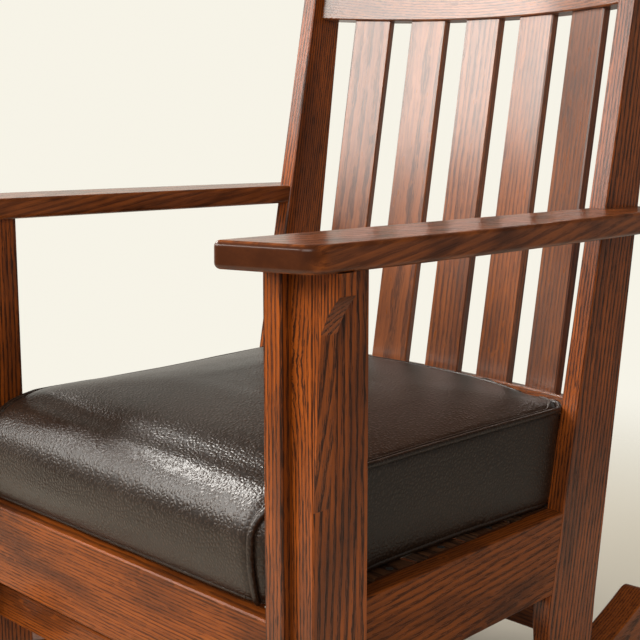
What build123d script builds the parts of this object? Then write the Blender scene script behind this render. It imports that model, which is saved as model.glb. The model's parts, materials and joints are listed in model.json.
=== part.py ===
from build123d import *
import os
from math import asin, atan, cos, degrees, pi, radians, sin, tan

# A mission rocking chair in oak with a loose leather seat cushion, in millimetres.
# X runs across the chair, Y from its front to its back and Z up. The origin lies on
# the floor, at the middle of the width, where the two rockers touch the floor.

# Overall stance
arm_underside_height = 590.0
balance_depth = 259.3
joint_clearance = 0.15
overrun = 90.0
wood_ease = 1.5

# Front posts, each of two boards side by side
front_half_width = 304.0
outer_board_thickness = 27.0
outer_board_depth = 68.0
inner_board_thickness = 23.0
inner_board_lead = 10.5

# Corbels under the arms
corbel_projection = 31.0
corbel_thickness = 19.0
corbel_lip_height = 19.0
corbel_waist_projection = 9.0
corbel_waist_drop = 54.0
corbel_hollow = 2.8
corbel_swell = 0.9
corbel_drop = 206.0
corbel_ease = 0.8

# Arms
arm_thickness = 24.0
arm_fall_angle = 0.9
arm_front_overhang = 61.0
arm_front_slant = 34.0
arm_corner_radius = 24.0
arm_inner_corner_radius = 6.5
arm_inner_half_gap = 246.0
arm_outer_front = 336.0
arm_outer_middle = 330.0
arm_outer_back = 307.0
arm_back_overhang = 4.0
arm_edge_radius = 5.5
arm_tenon_length = 14.0
arm_tenon_thickness = 9.0
arm_tenon_shoulder = 6.0

# Back posts, sawn to a rake and tapered
back_half_width = 262.0
back_post_thickness = 22.5
back_post_front_at_arm = 487.0
back_post_back_at_arm = 554.0
back_post_front_rake = 10.58
back_post_back_rake = 7.19
back_post_rise = 336.0
back_post_top_radius = 6.0
back_knee_share = 0.268
back_knee_radius = 130.0
back_foot_depth = 66.0
back_foot_set_back = 14.0

# Back frame of curved rails and flat slats
back_rake = 9.4
back_curve_radius = 679.0
back_centre_at_arm = 560.5
slat_count = 5
slat_pitch_angle = 7.25
slat_width = 54.5
slat_thickness = 12.0
slat_tenon_length = 16.0
slat_tenon_thickness = 8.0
slat_tenon_shoulder = 5.0
back_rail_lead = 5.0
back_rail_thickness = 22.0
crest_rise = 328.0
crest_height = 92.0
lower_rail_drop = 211.0
lower_rail_height = 58.0
back_rail_tenon_length = 14.0
back_rail_tenon_shoulder = 10.0
back_rail_tenon_thickness = 9.0

# Seat rails
seat_height_share = 0.4644
seat_rail_height = 92.0
seat_rail_thickness = 22.0
front_rail_lead = 5.5
back_rail_setback = 24.0
seat_tenon_length = 20.0
seat_tenon_thickness = 9.0
seat_tenon_shoulder = 12.0
back_seat_tenon_length = 14.0

# Seat deck under the cushion
cleat_size = 20.0
deck_slat_count = 5
deck_slat_width = 58.0
deck_slat_thickness = 11.0
deck_end_gap = 1.0
deck_first_slat = 84.0
deck_last_slat = 412.0
corner_block_leg = 46.0
corner_block_tip = 8.0
corner_block_height = 30.0
corner_block_drop = 35.0

# Low stretchers across the chair
stretcher_height = 40.0
stretcher_thickness = 20.0
stretcher_share = 0.648
stretcher_tenon_length = 14.0
stretcher_tenon_thickness = 9.0
stretcher_tenon_shoulder = 7.0

# Rockers
rocker_radius = 1020.0
rocker_height = 52.0
rocker_thickness = 38.0
rocker_length = 800.0
rocker_end_radius = 20.0
rocker_ease = 2.0

# Dowels and screws
dowel_radius = 4.5
arm_dowel_depth = 13.0
post_dowel_depth = 34.0
rocker_dowel_depth = 26.0
front_dowel_spacing = 22.0
back_dowel_spacing = 32.0
screw_shank_radius = 2.0
screw_head_radius = 4.0
screw_head_height = 2.4
deck_screw_length = 26.0
block_screw_length = 36.0
cleat_screw_length = 34.0

# Cushion
cushion_gap = 0.3
cushion_half_width = 245.0
cushion_height = 112.0
cushion_crown = 20.0
cushion_front = 5.0
cushion_front_roll = 44.0
cushion_front_swell = 9.0
cushion_corner_radius = 34.0
cushion_side_end = 420.0
cushion_side_lean = 20.0
cushion_shoulder_half_width = 190.0
cushion_shoulder = 471.0
cushion_back = 505.0
cushion_corner_bulge = 3.0
cushion_draw_in = 5.0
cushion_bottom_radius = 7.0
roll_shares = [0, 0.38, 0.7, 0.92, 1]
crown_shares = [(1, 0), (0.93, 0.36), (0.8, 0.68), (0.58, 0.9), (0.3, 1)]

# Places worked out from the sizes above
post_face = -balance_depth
leg_back = post_face + outer_board_depth
board_joint = front_half_width - outer_board_thickness
leg_inner_face = board_joint - inner_board_thickness
back_inner_face = back_half_width - back_post_thickness
seat_level = seat_height_share * arm_underside_height
seat_underside = seat_level - seat_rail_height
knee_height = back_knee_share * arm_underside_height
stretcher_rise = stretcher_share * seat_underside
post_top = arm_underside_height + back_post_rise
rocker_top_radius = rocker_radius - rocker_height
front_rail_back = post_face - front_rail_lead + seat_rail_thickness
far = rocker_length


def write(shape, node):
    """Write one named piece to its own STEP file."""
    export_step(shape, "parts/" + node + ".step")


def write_pair(shape, node):
    """Write a piece of the sitter's left side (+X), and its mirror image for the right."""
    write(shape, node + "_left")
    write(mirror(shape, about=Plane.YZ), node + "_right")


def block(x_range, y_range, z_range):
    """A plain box between six faces, each range given as (low, high)."""
    sizes = [high - low for low, high in (x_range, y_range, z_range)]
    corner = Pos(x_range[0], y_range[0], z_range[0])
    return corner * Box(*sizes, align=(Align.MIN, Align.MIN, Align.MIN))


def about(middle, size):
    """The range of this size about a middle."""
    return middle - size / 2, middle + size / 2


def side_board(points, x_range):
    """A board cut to an outline seen from the side, given as (y, z) points."""
    outline = make_face(Polyline(*points, close=True))
    return extrude(Plane.YZ.offset(x_range[0]) * outline, amount=x_range[1] - x_range[0])


def plan_board(outline, z_range):
    """A board cut to an outline seen from above."""
    return extrude(Plane.XY.offset(z_range[0]) * outline, amount=z_range[1] - z_range[0])


def rims(body, direction):
    """The rims of a board's two broad faces, which lie square to the direction."""
    faces = body.faces().filter_by(direction).sort_by(direction)
    return faces[0].edges() + faces[-1].edges()


def pin(x, y, z_range, spare=0):
    """An upright dowel, or with some spare its hole."""
    body = Cylinder(dowel_radius + spare, z_range[1] - z_range[0] + 2 * spare)
    return Pos(x, y, (z_range[0] + z_range[1]) / 2) * body


def screw(length, spare=0):
    """A screw along -Z whose flat head's top is at the origin, or with some spare its hole."""
    down = (Align.CENTER, Align.CENTER, Align.MAX)
    shank = Cylinder(screw_shank_radius + spare, length + spare, align=down)
    return shank + Cylinder(screw_head_radius + spare, screw_head_height + spare, align=down)


def head_access():
    """The clear way to a sunk screw head, above its top."""
    up = (Align.CENTER, Align.CENTER, Align.MIN)
    return Cylinder(screw_head_radius + joint_clearance, overrun, align=up)


def arm_underside(y):
    """Height of the arm's underside, which falls to the back."""
    return arm_underside_height - (y - post_face) * tan(radians(arm_fall_angle))


def post_front(height):
    """Y of the back post's front edge above its knee."""
    rise = height - arm_underside_height
    return post_face + back_post_front_at_arm + rise * tan(radians(back_post_front_rake))


def post_back(height):
    """Y of the back post's back edge above its knee."""
    rise = height - arm_underside_height
    return post_face + back_post_back_at_arm + rise * tan(radians(back_post_back_rake))


def foot_middle():
    """Y of the middle of the back post's foot."""
    return post_front(knee_height) + back_foot_set_back + back_foot_depth / 2


def above_arm():
    """Everything above the plane of the arms' undersides."""
    low, high = -far, far
    points = [(low, arm_underside(low)), (high, arm_underside(high)), (high, far + high), (low, far + high)]
    return side_board(points, (-far, far))


def behind_post_front(depth, x_range):
    """Everything this deep or deeper inside the back post's raked front edge."""
    points = [(post_front(0) + depth, 0), (post_front(far) + depth, far), (far, far), (far, 0)]
    return side_board(points, x_range)


def rocker_place():
    """Where the rocker's own frame stands: it runs along Y through the floor's contact."""
    front_x = (front_half_width + leg_inner_face) / 2
    back_x = (back_half_width + back_inner_face) / 2
    front_y = (post_face + leg_back) / 2
    slope = (front_x - back_x) / (foot_middle() - front_y)
    return Pos(front_x + front_y * slope, 0, 0) * Rot(0, 0, degrees(atan(slope)))


def rocker_bed():
    """All that lies under the rocker's top curve, to shape the feet of the posts."""
    ring = Rot(0, 90, 0) * Cylinder(rocker_top_radius - joint_clearance, 2 * overrun)
    ring = Pos(0, 0, rocker_radius) * ring
    slab = block((-overrun, overrun), (-rocker_length / 2, rocker_length / 2), (-overrun, rocker_radius / 2))
    return rocker_place() * (slab - ring)


def rocker_top(y):
    """Height of the rocker's top curve at a distance from the point of contact."""
    return rocker_radius - (rocker_top_radius ** 2 - y ** 2) ** 0.5


def rocker_dowels(spare=0):
    """Two dowels from each post into the rocker."""
    front_y = (post_face + leg_back) / 2
    front_x = (front_half_width + leg_inner_face) / 2
    back_x = (back_half_width + back_inner_face) / 2
    front_top = rocker_top(front_y)
    back_top = rocker_top(foot_middle())
    pins = []
    for turn in (-1, 1):
        heights = (front_top - rocker_dowel_depth, front_top + post_dowel_depth)
        pins.append(pin(front_x + turn * front_dowel_spacing / 2, front_y, heights, spare))
        heights = (back_top - rocker_dowel_depth, back_top + post_dowel_depth)
        pins.append(pin(back_x, foot_middle() + turn * back_dowel_spacing / 2, heights, spare))
    return pins


def rocker():
    """A board between two arcs about one centre, with rounded ends."""
    angle = asin(rocker_length / 2 / rocker_radius)
    arcs = []
    for radius in (rocker_radius, rocker_top_radius):
        reach = radius * sin(angle)
        height = rocker_radius - radius * cos(angle)
        arcs.append(ThreePointArc((-reach, height), (0, rocker_radius - radius), (reach, height)))
    low, high = arcs
    outline = make_face(low + high + Line(low @ 0, high @ 0) + Line(low @ 1, high @ 1))
    outline = fillet(outline.vertices(), rocker_end_radius)
    body = extrude(Plane.YZ.offset(-rocker_thickness / 2) * outline, amount=rocker_thickness)
    body = rocker_place() * chamfer(rims(body, Axis.X), rocker_ease)
    return cut_all(body, rocker_dowels(joint_clearance))


def cut_all(body, cutters):
    """Take several cutters out of a body, one by one."""
    for cutter in cutters:
        body = body - cutter
    return body


def arm_dowels(spare=0):
    """One dowel from each board of the front post, up into the arm."""
    pins = []
    for x in ((front_half_width + board_joint) / 2, (board_joint + leg_inner_face) / 2):
        y = (post_face + leg_back) / 2
        heights = (arm_underside(y) - post_dowel_depth, arm_underside(y) + arm_dowel_depth)
        pins.append(pin(x, y, heights, spare))
    return pins


def post_board(x_range, face):
    """One board of the front post, cut to the arm's fall above and the rocker's curve below."""
    body = block(x_range, (face, leg_back), (0, arm_underside_height + overrun))
    body = chamfer(body.edges().filter_by(Axis.Z), wood_ease)
    return body - above_arm() - rocker_bed()


def front_post_outer():
    """The outer board, which carries the corbel."""
    body = post_board((board_joint, front_half_width), post_face)
    return cut_all(body, arm_dowels(joint_clearance) + rocker_dowels(joint_clearance))


def front_post_inner():
    """The inner board, which stands a little forward and takes the seat rails' tenons."""
    body = post_board((leg_inner_face, board_joint), post_face - inner_board_lead)
    tenons = [front_rail_tenon(joint_clearance), stretcher_tenon(True, joint_clearance)]
    body = cut_all(body, tenons + [side_rail_tenons(joint_clearance)])
    return cut_all(body, arm_dowels(joint_clearance) + rocker_dowels(joint_clearance))


def corbel():
    """A slim bracket: a square lip under the arm, a hollow, and a long taper down the post."""
    waist = (corbel_waist_projection, -corbel_waist_drop)
    lip = (corbel_projection, -corbel_lip_height)
    hollow = ((waist[0] + lip[0]) / 2 - corbel_hollow, (waist[1] + lip[1]) / 2)
    swell = (waist[0] / 2 + corbel_swell, (waist[1] - corbel_drop) / 2)
    head = Polyline((0, -corbel_drop), (0, overrun), (corbel_projection, overrun), lip)
    taper = ThreePointArc(waist, swell, (0, -corbel_drop))
    outline = make_face(head + ThreePointArc(lip, hollow, waist) + taper)
    standing = Plane((front_half_width, post_face, arm_underside_height), x_dir=(1, 0, 0), z_dir=(0, -1, 0))
    body = extrude(standing * outline, amount=-corbel_thickness)
    outer = body.edges().group_by(Axis.X)[-1].filter_by(Axis.Z)
    return fillet(outer, corbel_ease) - above_arm()


def arm_place():
    """The arm's own frame: its origin on the underside, over the front post's face."""
    return Pos(0, post_face, arm_underside_height) * Rot(-arm_fall_angle, 0, 0)


def arm_tenon(spare=0):
    """The arm's tenon into the back post, or with some spare its mortise."""
    middle = (back_half_width + back_inner_face) / 2
    across = about(middle, arm_tenon_thickness + 2 * spare)
    front = back_post_front_at_arm
    along = (front - arm_tenon_length, front + arm_tenon_length + spare)
    upright = (arm_tenon_shoulder - spare, arm_thickness - arm_tenon_shoulder + spare)
    return arm_place() * block(across, along, upright)


def arm():
    """A broad curved arm that butts on the back post and runs past its outer side."""
    end = back_post_back_at_arm + arm_back_overhang
    front_inner = (arm_inner_half_gap, -arm_front_overhang)
    front_outer = (arm_outer_front, arm_front_slant - arm_front_overhang)
    middle = (arm_outer_middle, (end - arm_front_overhang) / 2)
    back_outer = (arm_outer_back, end)
    back_inner = (back_inner_face, end)
    sweep_line = ThreePointArc(front_outer, middle, back_outer)
    rest = Polyline(back_outer, back_inner, front_inner, front_outer)
    outline = make_face(sweep_line + rest)
    front = outline.vertices().sort_by(Axis.Y)
    outline = fillet(front[1], arm_corner_radius)
    outline = fillet(outline.vertices().sort_by(Axis.Y)[0], arm_inner_corner_radius)
    body = plan_board(outline, (0, arm_thickness))
    body = arm_place() * fillet(rims(body, Axis.Z), arm_edge_radius)
    body = body - behind_post_front(0, (0, back_half_width)) + arm_tenon()
    return cut_all(body, arm_dowels(joint_clearance))


def back_post():
    """A raked post that narrows to its top, and to its foot below a soft knee."""
    foot = post_front(knee_height) + back_foot_set_back
    points = [
        (foot, 0),
        (post_front(knee_height), knee_height),
        (post_front(post_top), post_top),
        (post_back(post_top), post_top),
        (post_back(knee_height), knee_height),
        (foot + back_foot_depth, 0),
    ]
    outline = make_face(Polyline(*points, close=True))
    knees = outline.vertices().filter_by_position(Axis.Y, knee_height - wood_ease, knee_height + wood_ease)
    outline = fillet(knees, back_knee_radius)
    outline = fillet(outline.vertices().group_by(Axis.Y)[-1], back_post_top_radius)
    body = extrude(Plane.YZ.offset(back_inner_face) * outline, amount=back_post_thickness)
    body = chamfer(rims(body, Axis.X), wood_ease) - rocker_bed()
    joints = [arm_tenon(joint_clearance), side_rail_tenons(joint_clearance)]
    joints += [back_seat_tenon(joint_clearance), stretcher_tenon(False, joint_clearance)]
    for top, height in ((crest_rise, crest_height), (-lower_rail_drop, lower_rail_height)):
        joints.append(back_place() * back_rail_tenon(top, height, joint_clearance))
    return cut_all(body, joints + rocker_dowels(joint_clearance))


def back_place():
    """The raked frame of the back: its origin at the middle slat's front, level with the arms."""
    return Pos(0, post_face + back_centre_at_arm, arm_underside_height) * Rot(-back_rake, 0, 0)


def back_arc(radius, reach):
    """An arc about the back's centre of curvature, reaching equally far to both sides."""
    end = (radius ** 2 - reach ** 2) ** 0.5 - back_curve_radius
    return ThreePointArc((-reach, end), (0, radius - back_curve_radius), (reach, end))


def back_rail_tenon(top, height, spare=0):
    """A curved rail's tenon in the back's frame, or with some spare its mortise."""
    radius = back_curve_radius - back_rail_lead + back_rail_thickness / 2
    middle = (radius ** 2 - back_inner_face ** 2) ** 0.5 - back_curve_radius
    across = (back_inner_face - back_rail_tenon_thickness, back_inner_face + back_rail_tenon_length + spare)
    along = about(middle, back_rail_tenon_thickness + 2 * spare)
    upright = about(top - height / 2, height - 2 * back_rail_tenon_shoulder + 2 * spare)
    return block(across, along, upright)


def slat_turns():
    """Where each slat stands in the back's frame: its origin at the middle of its front face."""
    centre = Pos(0, -back_curve_radius, 0)
    turns = [(index - (slat_count - 1) / 2) * slat_pitch_angle for index in range(slat_count)]
    return [centre * Rot(0, 0, -turn) * Pos(0, back_curve_radius, 0) for turn in turns]


def slat_tongue(spare=0):
    """The tenons at both ends of a slat as one long tongue, or with some spare their mortises."""
    across = about(0, slat_width - 2 * slat_tenon_shoulder + 2 * spare)
    along = about(slat_thickness / 2, slat_tenon_thickness + 2 * spare)
    low = -lower_rail_drop - slat_tenon_length - spare
    high = crest_rise - crest_height + slat_tenon_length + spare
    return block(across, along, (low, high))


def back_slat(turn):
    """A flat slat between the two curved rails."""
    body = block(about(0, slat_width), (0, slat_thickness), (-lower_rail_drop, crest_rise - crest_height))
    body = chamfer(body.edges().filter_by(Axis.Z), wood_ease)
    return back_place() * turn * (body + slat_tongue())


def back_rail(top, height):
    """A curved rail of the back, mortised for the slats and tenoned into the posts."""
    front = back_arc(back_curve_radius - back_rail_lead, back_half_width)
    back = back_arc(back_curve_radius - back_rail_lead + back_rail_thickness, back_half_width)
    outline = make_face(front + back + Line(front @ 0, back @ 0) + Line(front @ 1, back @ 1))
    body = plan_board(outline, (top - height, top))
    body = chamfer(body.edges().filter_by(GeomType.CIRCLE), wood_ease)
    body = body & block((-back_inner_face, back_inner_face), (-far, far), (-far, far))
    tenon = back_rail_tenon(top, height)
    body = cut_all(body, [turn * slat_tongue(joint_clearance) for turn in slat_turns()])
    return back_place() * (body + tenon + mirror(tenon, about=Plane.YZ))


def straight_rail(reach, tenon, y_range, z_range):
    """A straight rail across the chair with a tenon at each end."""
    body = block((-reach, reach), y_range, z_range)
    body = chamfer(body.edges().filter_by(Axis.X), wood_ease)
    return body + tenon + mirror(tenon, about=Plane.YZ)


def front_rail_tenon(spare=0):
    """The front seat rail's tenon into the inner board, or with some spare its mortise."""
    across = (leg_inner_face - seat_tenon_length, leg_inner_face + seat_tenon_length + spare)
    along = about(front_rail_back - seat_rail_thickness / 2, seat_tenon_thickness + 2 * spare)
    upright = (seat_underside + seat_tenon_shoulder - spare, seat_level - seat_tenon_shoulder + spare)
    return block(across, along, upright)


def front_seat_rail():
    """The rail across the front, under the cushion's edge."""
    along = (front_rail_back - seat_rail_thickness, front_rail_back)
    body = straight_rail(leg_inner_face, front_rail_tenon(), along, (seat_underside, seat_level))
    return cut_all(body, with_mirror_images(block_screws(joint_clearance)))


def back_rail_front():
    """Y of the back seat rail's front face."""
    return post_front(seat_level) + back_rail_setback


def back_seat_tenon(spare=0):
    """The back seat rail's tenon into the back post, or with some spare its mortise."""
    across = (back_inner_face - back_seat_tenon_length, back_inner_face + back_seat_tenon_length + spare)
    along = about(back_rail_front() + seat_rail_thickness / 2, seat_tenon_thickness + 2 * spare)
    upright = (seat_underside + seat_tenon_shoulder - spare, seat_level - seat_tenon_shoulder + spare)
    return block(across, along, upright)


def back_seat_rail():
    """The rail across the back, between the posts and under the cushion."""
    along = (back_rail_front(), back_rail_front() + seat_rail_thickness)
    body = straight_rail(back_inner_face, back_seat_tenon(), along, (seat_underside, seat_level))
    return cut_all(body, with_mirror_images(block_screws(joint_clearance)))


def side_slope():
    """How much the side rail turns in towards the back, for each unit of depth."""
    return (board_joint - back_half_width) / (post_front(seat_level) - leg_back)


def side_place():
    """The side rail's own frame: it runs along Y, with its outer face at X zero."""
    return Pos(board_joint, leg_back, 0) * Rot(0, 0, degrees(atan(side_slope())))


def side_bar(x_range, z_range, reach, ends):
    """A bar along the side rail's line that reaches into both posts by this much."""
    body = block(x_range, (-far / 2, far), z_range)
    body = side_place() * chamfer(body.edges().filter_by(Axis.Y), ends)
    front = block((0, far), (-far, leg_back - reach), (0, far))
    return body - front - behind_post_front(reach, (0, far))


def side_rail_tenons(spare=0):
    """The side rail's two tenons as one long tongue, or with some spare their mortises."""
    across = about(-seat_rail_thickness / 2, seat_tenon_thickness + 2 * spare)
    upright = (seat_underside + seat_tenon_shoulder - spare, seat_level - seat_tenon_shoulder + spare)
    return side_bar(across, upright, seat_tenon_length + spare, corbel_ease)


def side_rail():
    """The rail from the front post's inner board to the back post."""
    body = side_bar((-seat_rail_thickness, 0), (seat_underside, seat_level), 0, wood_ease)
    return cut_all(body + side_rail_tenons(), cleat_screws(joint_clearance))


def side_cleat():
    """The bar inside the side rail that the deck slats rest on."""
    top = seat_level - deck_slat_thickness
    inner = -seat_rail_thickness - cleat_size
    body = side_bar((inner, -seat_rail_thickness), (top - cleat_size, top), -deck_end_gap, corbel_ease)
    return cut_all(body, cleat_screws(joint_clearance) + deck_screws(joint_clearance))


def cleat_screws(spare=0):
    """Screws from the cleat's inner side into the side rail."""
    height = seat_level - deck_slat_thickness - cleat_size / 2
    rows = deck_rows()
    between = [(here + beyond) / 2 - leg_back for here, beyond in zip(rows[::2], rows[1::2])]
    entry = -seat_rail_thickness - cleat_size
    places = [side_place() * Pos(entry, along, height) for along in between]
    return [place * Rot(0, -90, 0) * screw(cleat_screw_length, spare) for place in places]


def deck_rows():
    """Y of the middle of each deck slat."""
    step = (deck_last_slat - deck_first_slat) / (deck_slat_count - 1)
    return [post_face + deck_first_slat + index * step for index in range(deck_slat_count)]


def rail_inner(y):
    """X of the side rail's inner face."""
    across = seat_rail_thickness * (1 + side_slope() ** 2) ** 0.5
    return board_joint - across - (y - leg_back) * side_slope()


def deck_slat(y):
    """One slat across the seat, level with the tops of the rails."""
    reach = rail_inner(y + deck_slat_width / 2) - deck_end_gap
    body = block((-reach, reach), about(y, deck_slat_width), (seat_level - deck_slat_thickness, seat_level))
    body = chamfer(body.edges().filter_by(Axis.X), wood_ease)
    return cut_all(body, with_mirror_images(deck_screws(joint_clearance)))


def deck_screws(spare=0):
    """A screw down through the left end of each deck slat into the cleat."""
    holes = []
    for y in deck_rows():
        place = Pos(rail_inner(y) - cleat_size / 2, y, seat_level)
        holes.append(place * screw(deck_screw_length, spare))
    return holes


def block_corners():
    """The inner corners that hold the blocks: X, Y and which way along Y each block runs."""
    return [(leg_inner_face, front_rail_back, 1), (back_inner_face, back_rail_front(), -1)]


def block_screw_places():
    """Where the left corner blocks' screws enter, pointing into the front and the back seat rail."""
    height = seat_level - corner_block_drop - corner_block_height / 2
    depth = corner_block_leg / 2 + corner_block_tip - screw_head_radius
    places = []
    for x, y, turn in block_corners():
        places.append(Pos(x - corner_block_leg / 2, y + turn * depth, height) * Rot(-turn * 90, 0, 0))
    return places


def block_screws(spare=0):
    """A screw through each left corner block, into the front or the back seat rail."""
    return [place * screw(block_screw_length, spare) for place in block_screw_places()]


def with_mirror_images(solids):
    """Solids of the left side together with those of the right."""
    return solids + [mirror(solid, about=Plane.YZ) for solid in solids]


def corner_block(corner):
    """A glued block across an inner corner of the seat frame, with its tips cut off."""
    x, y, turn = corner
    leg, tip = corner_block_leg, corner_block_tip
    points = [(0, 0), (-leg, 0), (-leg, tip), (-tip, leg), (0, leg)]
    outline = make_face(Polyline(*[(x + across, y + turn * along) for across, along in points], close=True))
    top = seat_level - corner_block_drop
    body = plan_board(outline, (top - corner_block_height, top))
    access = [place * head_access() for place in block_screw_places()]
    return cut_all(body, block_screws(joint_clearance) + access)


def stretcher_tenon(front, spare=0):
    """A stretcher's tenon into the front or the back post, or with some spare its mortise."""
    inner = leg_inner_face if front else back_inner_face
    middle = (post_face + leg_back) / 2 if front else foot_middle()
    across = (inner - stretcher_tenon_length, inner + stretcher_tenon_length + spare)
    along = about(middle, stretcher_tenon_thickness + 2 * spare)
    low = stretcher_rise + stretcher_tenon_shoulder - spare
    return block(across, along, (low, stretcher_rise + stretcher_height - stretcher_tenon_shoulder + spare))


def stretcher(front):
    """A low rail between the two front posts or the two back posts."""
    reach = leg_inner_face if front else back_inner_face
    middle = (post_face + leg_back) / 2 if front else foot_middle()
    upright = (stretcher_rise, stretcher_rise + stretcher_height)
    return straight_rail(reach, stretcher_tenon(front), about(middle, stretcher_thickness), upright)


def cushion_outline(inset, front_inset, height):
    """The cushion's plan at a height: drawn in all round and at the front, longer beside the back posts."""
    side = cushion_half_width - inset
    front = post_face + cushion_front + front_inset
    side_start = front + cushion_corner_radius
    side_end = post_face + cushion_side_end + cushion_side_lean * height / cushion_height - inset
    shoulder = (cushion_shoulder_half_width - inset, post_face + cushion_shoulder - inset)
    back = post_face + cushion_back - inset
    bend = (1 - 0.5 ** 0.5) * cushion_corner_radius
    front_edge = Line((-side + cushion_corner_radius, front), (side - cushion_corner_radius, front))
    corner = ThreePointArc(front_edge @ 1, (side - bend, front + bend), (side, side_start))
    waist = (side - cushion_draw_in, (side_start + side_end) / 2)
    drawn = ThreePointArc(corner @ 1, waist, (side, side_end))
    middle_x = (side + shoulder[0]) / 2 + cushion_corner_bulge * cos(radians(45))
    middle_y = (side_end + shoulder[1]) / 2 + cushion_corner_bulge * sin(radians(45))
    haunch = ThreePointArc(drawn @ 1, (middle_x, middle_y), shoulder)
    back_edge = ThreePointArc(shoulder, (0, back), (-shoulder[0], shoulder[1]))
    half = corner + drawn + haunch
    return make_face(front_edge + half + back_edge + mirror(half, about=Plane.YZ))


def cushion_boxing(height):
    """The cushion's plan at a height above its bottom, up to its upper seam."""
    roll_start = cushion_height - cushion_front_roll
    climb = max(0, height - roll_start)
    front_inset = cushion_front_roll - (cushion_front_roll ** 2 - climb ** 2) ** 0.5
    front_inset -= cushion_front_swell * sin(pi * height / cushion_height)
    return Pos(0, 0, height) * cushion_outline(0, front_inset, height)


def cushion():
    """A loose box cushion: drawn-in sides, a rolled front edge and a crowned top."""
    foot = cushion_outline(cushion_bottom_radius, cushion_bottom_radius, 0)
    roll_start = cushion_height - cushion_front_roll
    heights = [cushion_bottom_radius, (cushion_bottom_radius + roll_start) / 2, roll_start]
    heights += [cushion_height - cushion_front_roll * (1 - share) for share in roll_shares[1:]]
    boxing = loft([foot] + [cushion_boxing(height) for height in heights], ruled=True)
    top = cushion_boxing(cushion_height)
    pivot = Pos(0, top.center().Y, 0)
    rings = []
    for size_share, rise_share in crown_shares:
        ring = pivot * scale(pivot.inverse() * top, by=(size_share, size_share, 1))
        rings.append(Pos(0, 0, rise_share * cushion_crown) * ring)
    return Pos(0, 0, seat_level + cushion_gap) * (boxing + loft(rings))


def write_group(solids, node):
    """Write small pieces of one kind and their mirror images as one node of separate solids."""
    write(Compound(with_mirror_images(solids)), node)


os.makedirs("parts", exist_ok=True)
write_pair(front_post_outer(), "front_post_outer")
write_pair(front_post_inner(), "front_post_inner")
write_pair(corbel(), "corbel")
write_pair(arm(), "arm")
write_pair(back_post(), "back_post")
write(back_rail(crest_rise, crest_height), "crest_rail")
write(back_rail(-lower_rail_drop, lower_rail_height), "lower_back_rail")
for number, turn in enumerate(slat_turns(), start=1):
    write(back_slat(turn), "back_slat_" + str(number))
write(front_seat_rail(), "front_seat_rail")
write(back_seat_rail(), "back_seat_rail")
write_pair(side_rail(), "side_rail")
write_pair(side_cleat(), "side_cleat")
for number, row in enumerate(deck_rows(), start=1):
    write(deck_slat(row), "deck_slat_" + str(number))
for corner, end in zip(block_corners(), ("front", "back")):
    write_pair(corner_block(corner), "corner_block_" + end)
write(stretcher(True), "front_stretcher")
write(stretcher(False), "back_stretcher")
write_pair(rocker(), "rocker")
write_group(arm_dowels(), "arm_dowels")
write_group(rocker_dowels(), "rocker_dowels")
write_group(deck_screws(), "deck_screws")
write_group(cleat_screws(), "cleat_screws")
write_group(block_screws(), "corner_block_screws")
write(cushion(), "cushion")
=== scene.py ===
import json
import logging
import math
from collections.abc import Callable
from dataclasses import dataclass, replace
from enum import Enum

import bmesh
import bpy
import numpy as np
from bpy.types import Curve, ID, Material, Mesh, Node, NodeSocket, NodeTree, Object
from mathutils import Euler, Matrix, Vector
from mathutils.bvhtree import BVHTree
from mathutils.kdtree import KDTree

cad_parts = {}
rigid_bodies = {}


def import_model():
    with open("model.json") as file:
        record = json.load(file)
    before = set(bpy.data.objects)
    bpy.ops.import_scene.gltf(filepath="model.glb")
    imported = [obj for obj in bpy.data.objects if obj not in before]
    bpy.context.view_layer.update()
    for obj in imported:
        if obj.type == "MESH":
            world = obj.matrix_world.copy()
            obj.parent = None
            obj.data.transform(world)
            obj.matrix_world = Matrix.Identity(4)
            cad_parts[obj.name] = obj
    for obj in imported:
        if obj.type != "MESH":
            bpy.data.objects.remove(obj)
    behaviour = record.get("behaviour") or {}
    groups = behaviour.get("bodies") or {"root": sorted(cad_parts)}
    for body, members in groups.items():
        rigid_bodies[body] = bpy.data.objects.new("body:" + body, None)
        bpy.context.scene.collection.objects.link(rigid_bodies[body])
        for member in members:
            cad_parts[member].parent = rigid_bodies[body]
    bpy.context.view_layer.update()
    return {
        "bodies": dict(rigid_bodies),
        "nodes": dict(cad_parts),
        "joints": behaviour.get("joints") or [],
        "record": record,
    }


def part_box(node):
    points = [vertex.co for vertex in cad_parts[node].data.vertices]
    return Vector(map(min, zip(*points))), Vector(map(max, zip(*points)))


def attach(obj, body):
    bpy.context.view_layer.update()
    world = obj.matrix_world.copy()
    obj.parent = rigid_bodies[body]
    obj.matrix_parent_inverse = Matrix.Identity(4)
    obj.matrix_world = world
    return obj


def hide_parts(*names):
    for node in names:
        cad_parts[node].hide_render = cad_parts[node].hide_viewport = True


# Lengths are in metres and angles in degrees.
LOG = logging.getLogger("rocking_chair")
WELD_GAP = 1e-5
ARRIS_TURN = 42.0
AREA_WEIGHT = 100
Colour = tuple[float, float, float]
Point = tuple[float, float, float]
PlanPoint = tuple[float, float]
Range = tuple[float, float]


class Grain(Enum):
    """The way a board's grain runs, along X, Y or Z, as the turn that lays it along Z."""

    ACROSS = (0.0, 90.0, 0.0)
    DEEP = (90.0, 0.0, 0.0)
    UPRIGHT = (0.0, 0.0, 0.0)


@dataclass(frozen=True)
class Noise:
    """A noise: its features in a metre, their share along Z and the range that shows."""

    scale: float
    along: float = 1.0
    shown: Range = (0.0, 1.0)
    detail: float = 2.0
    roughness: float = 0.5
    distortion: float = 0.0


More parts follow.
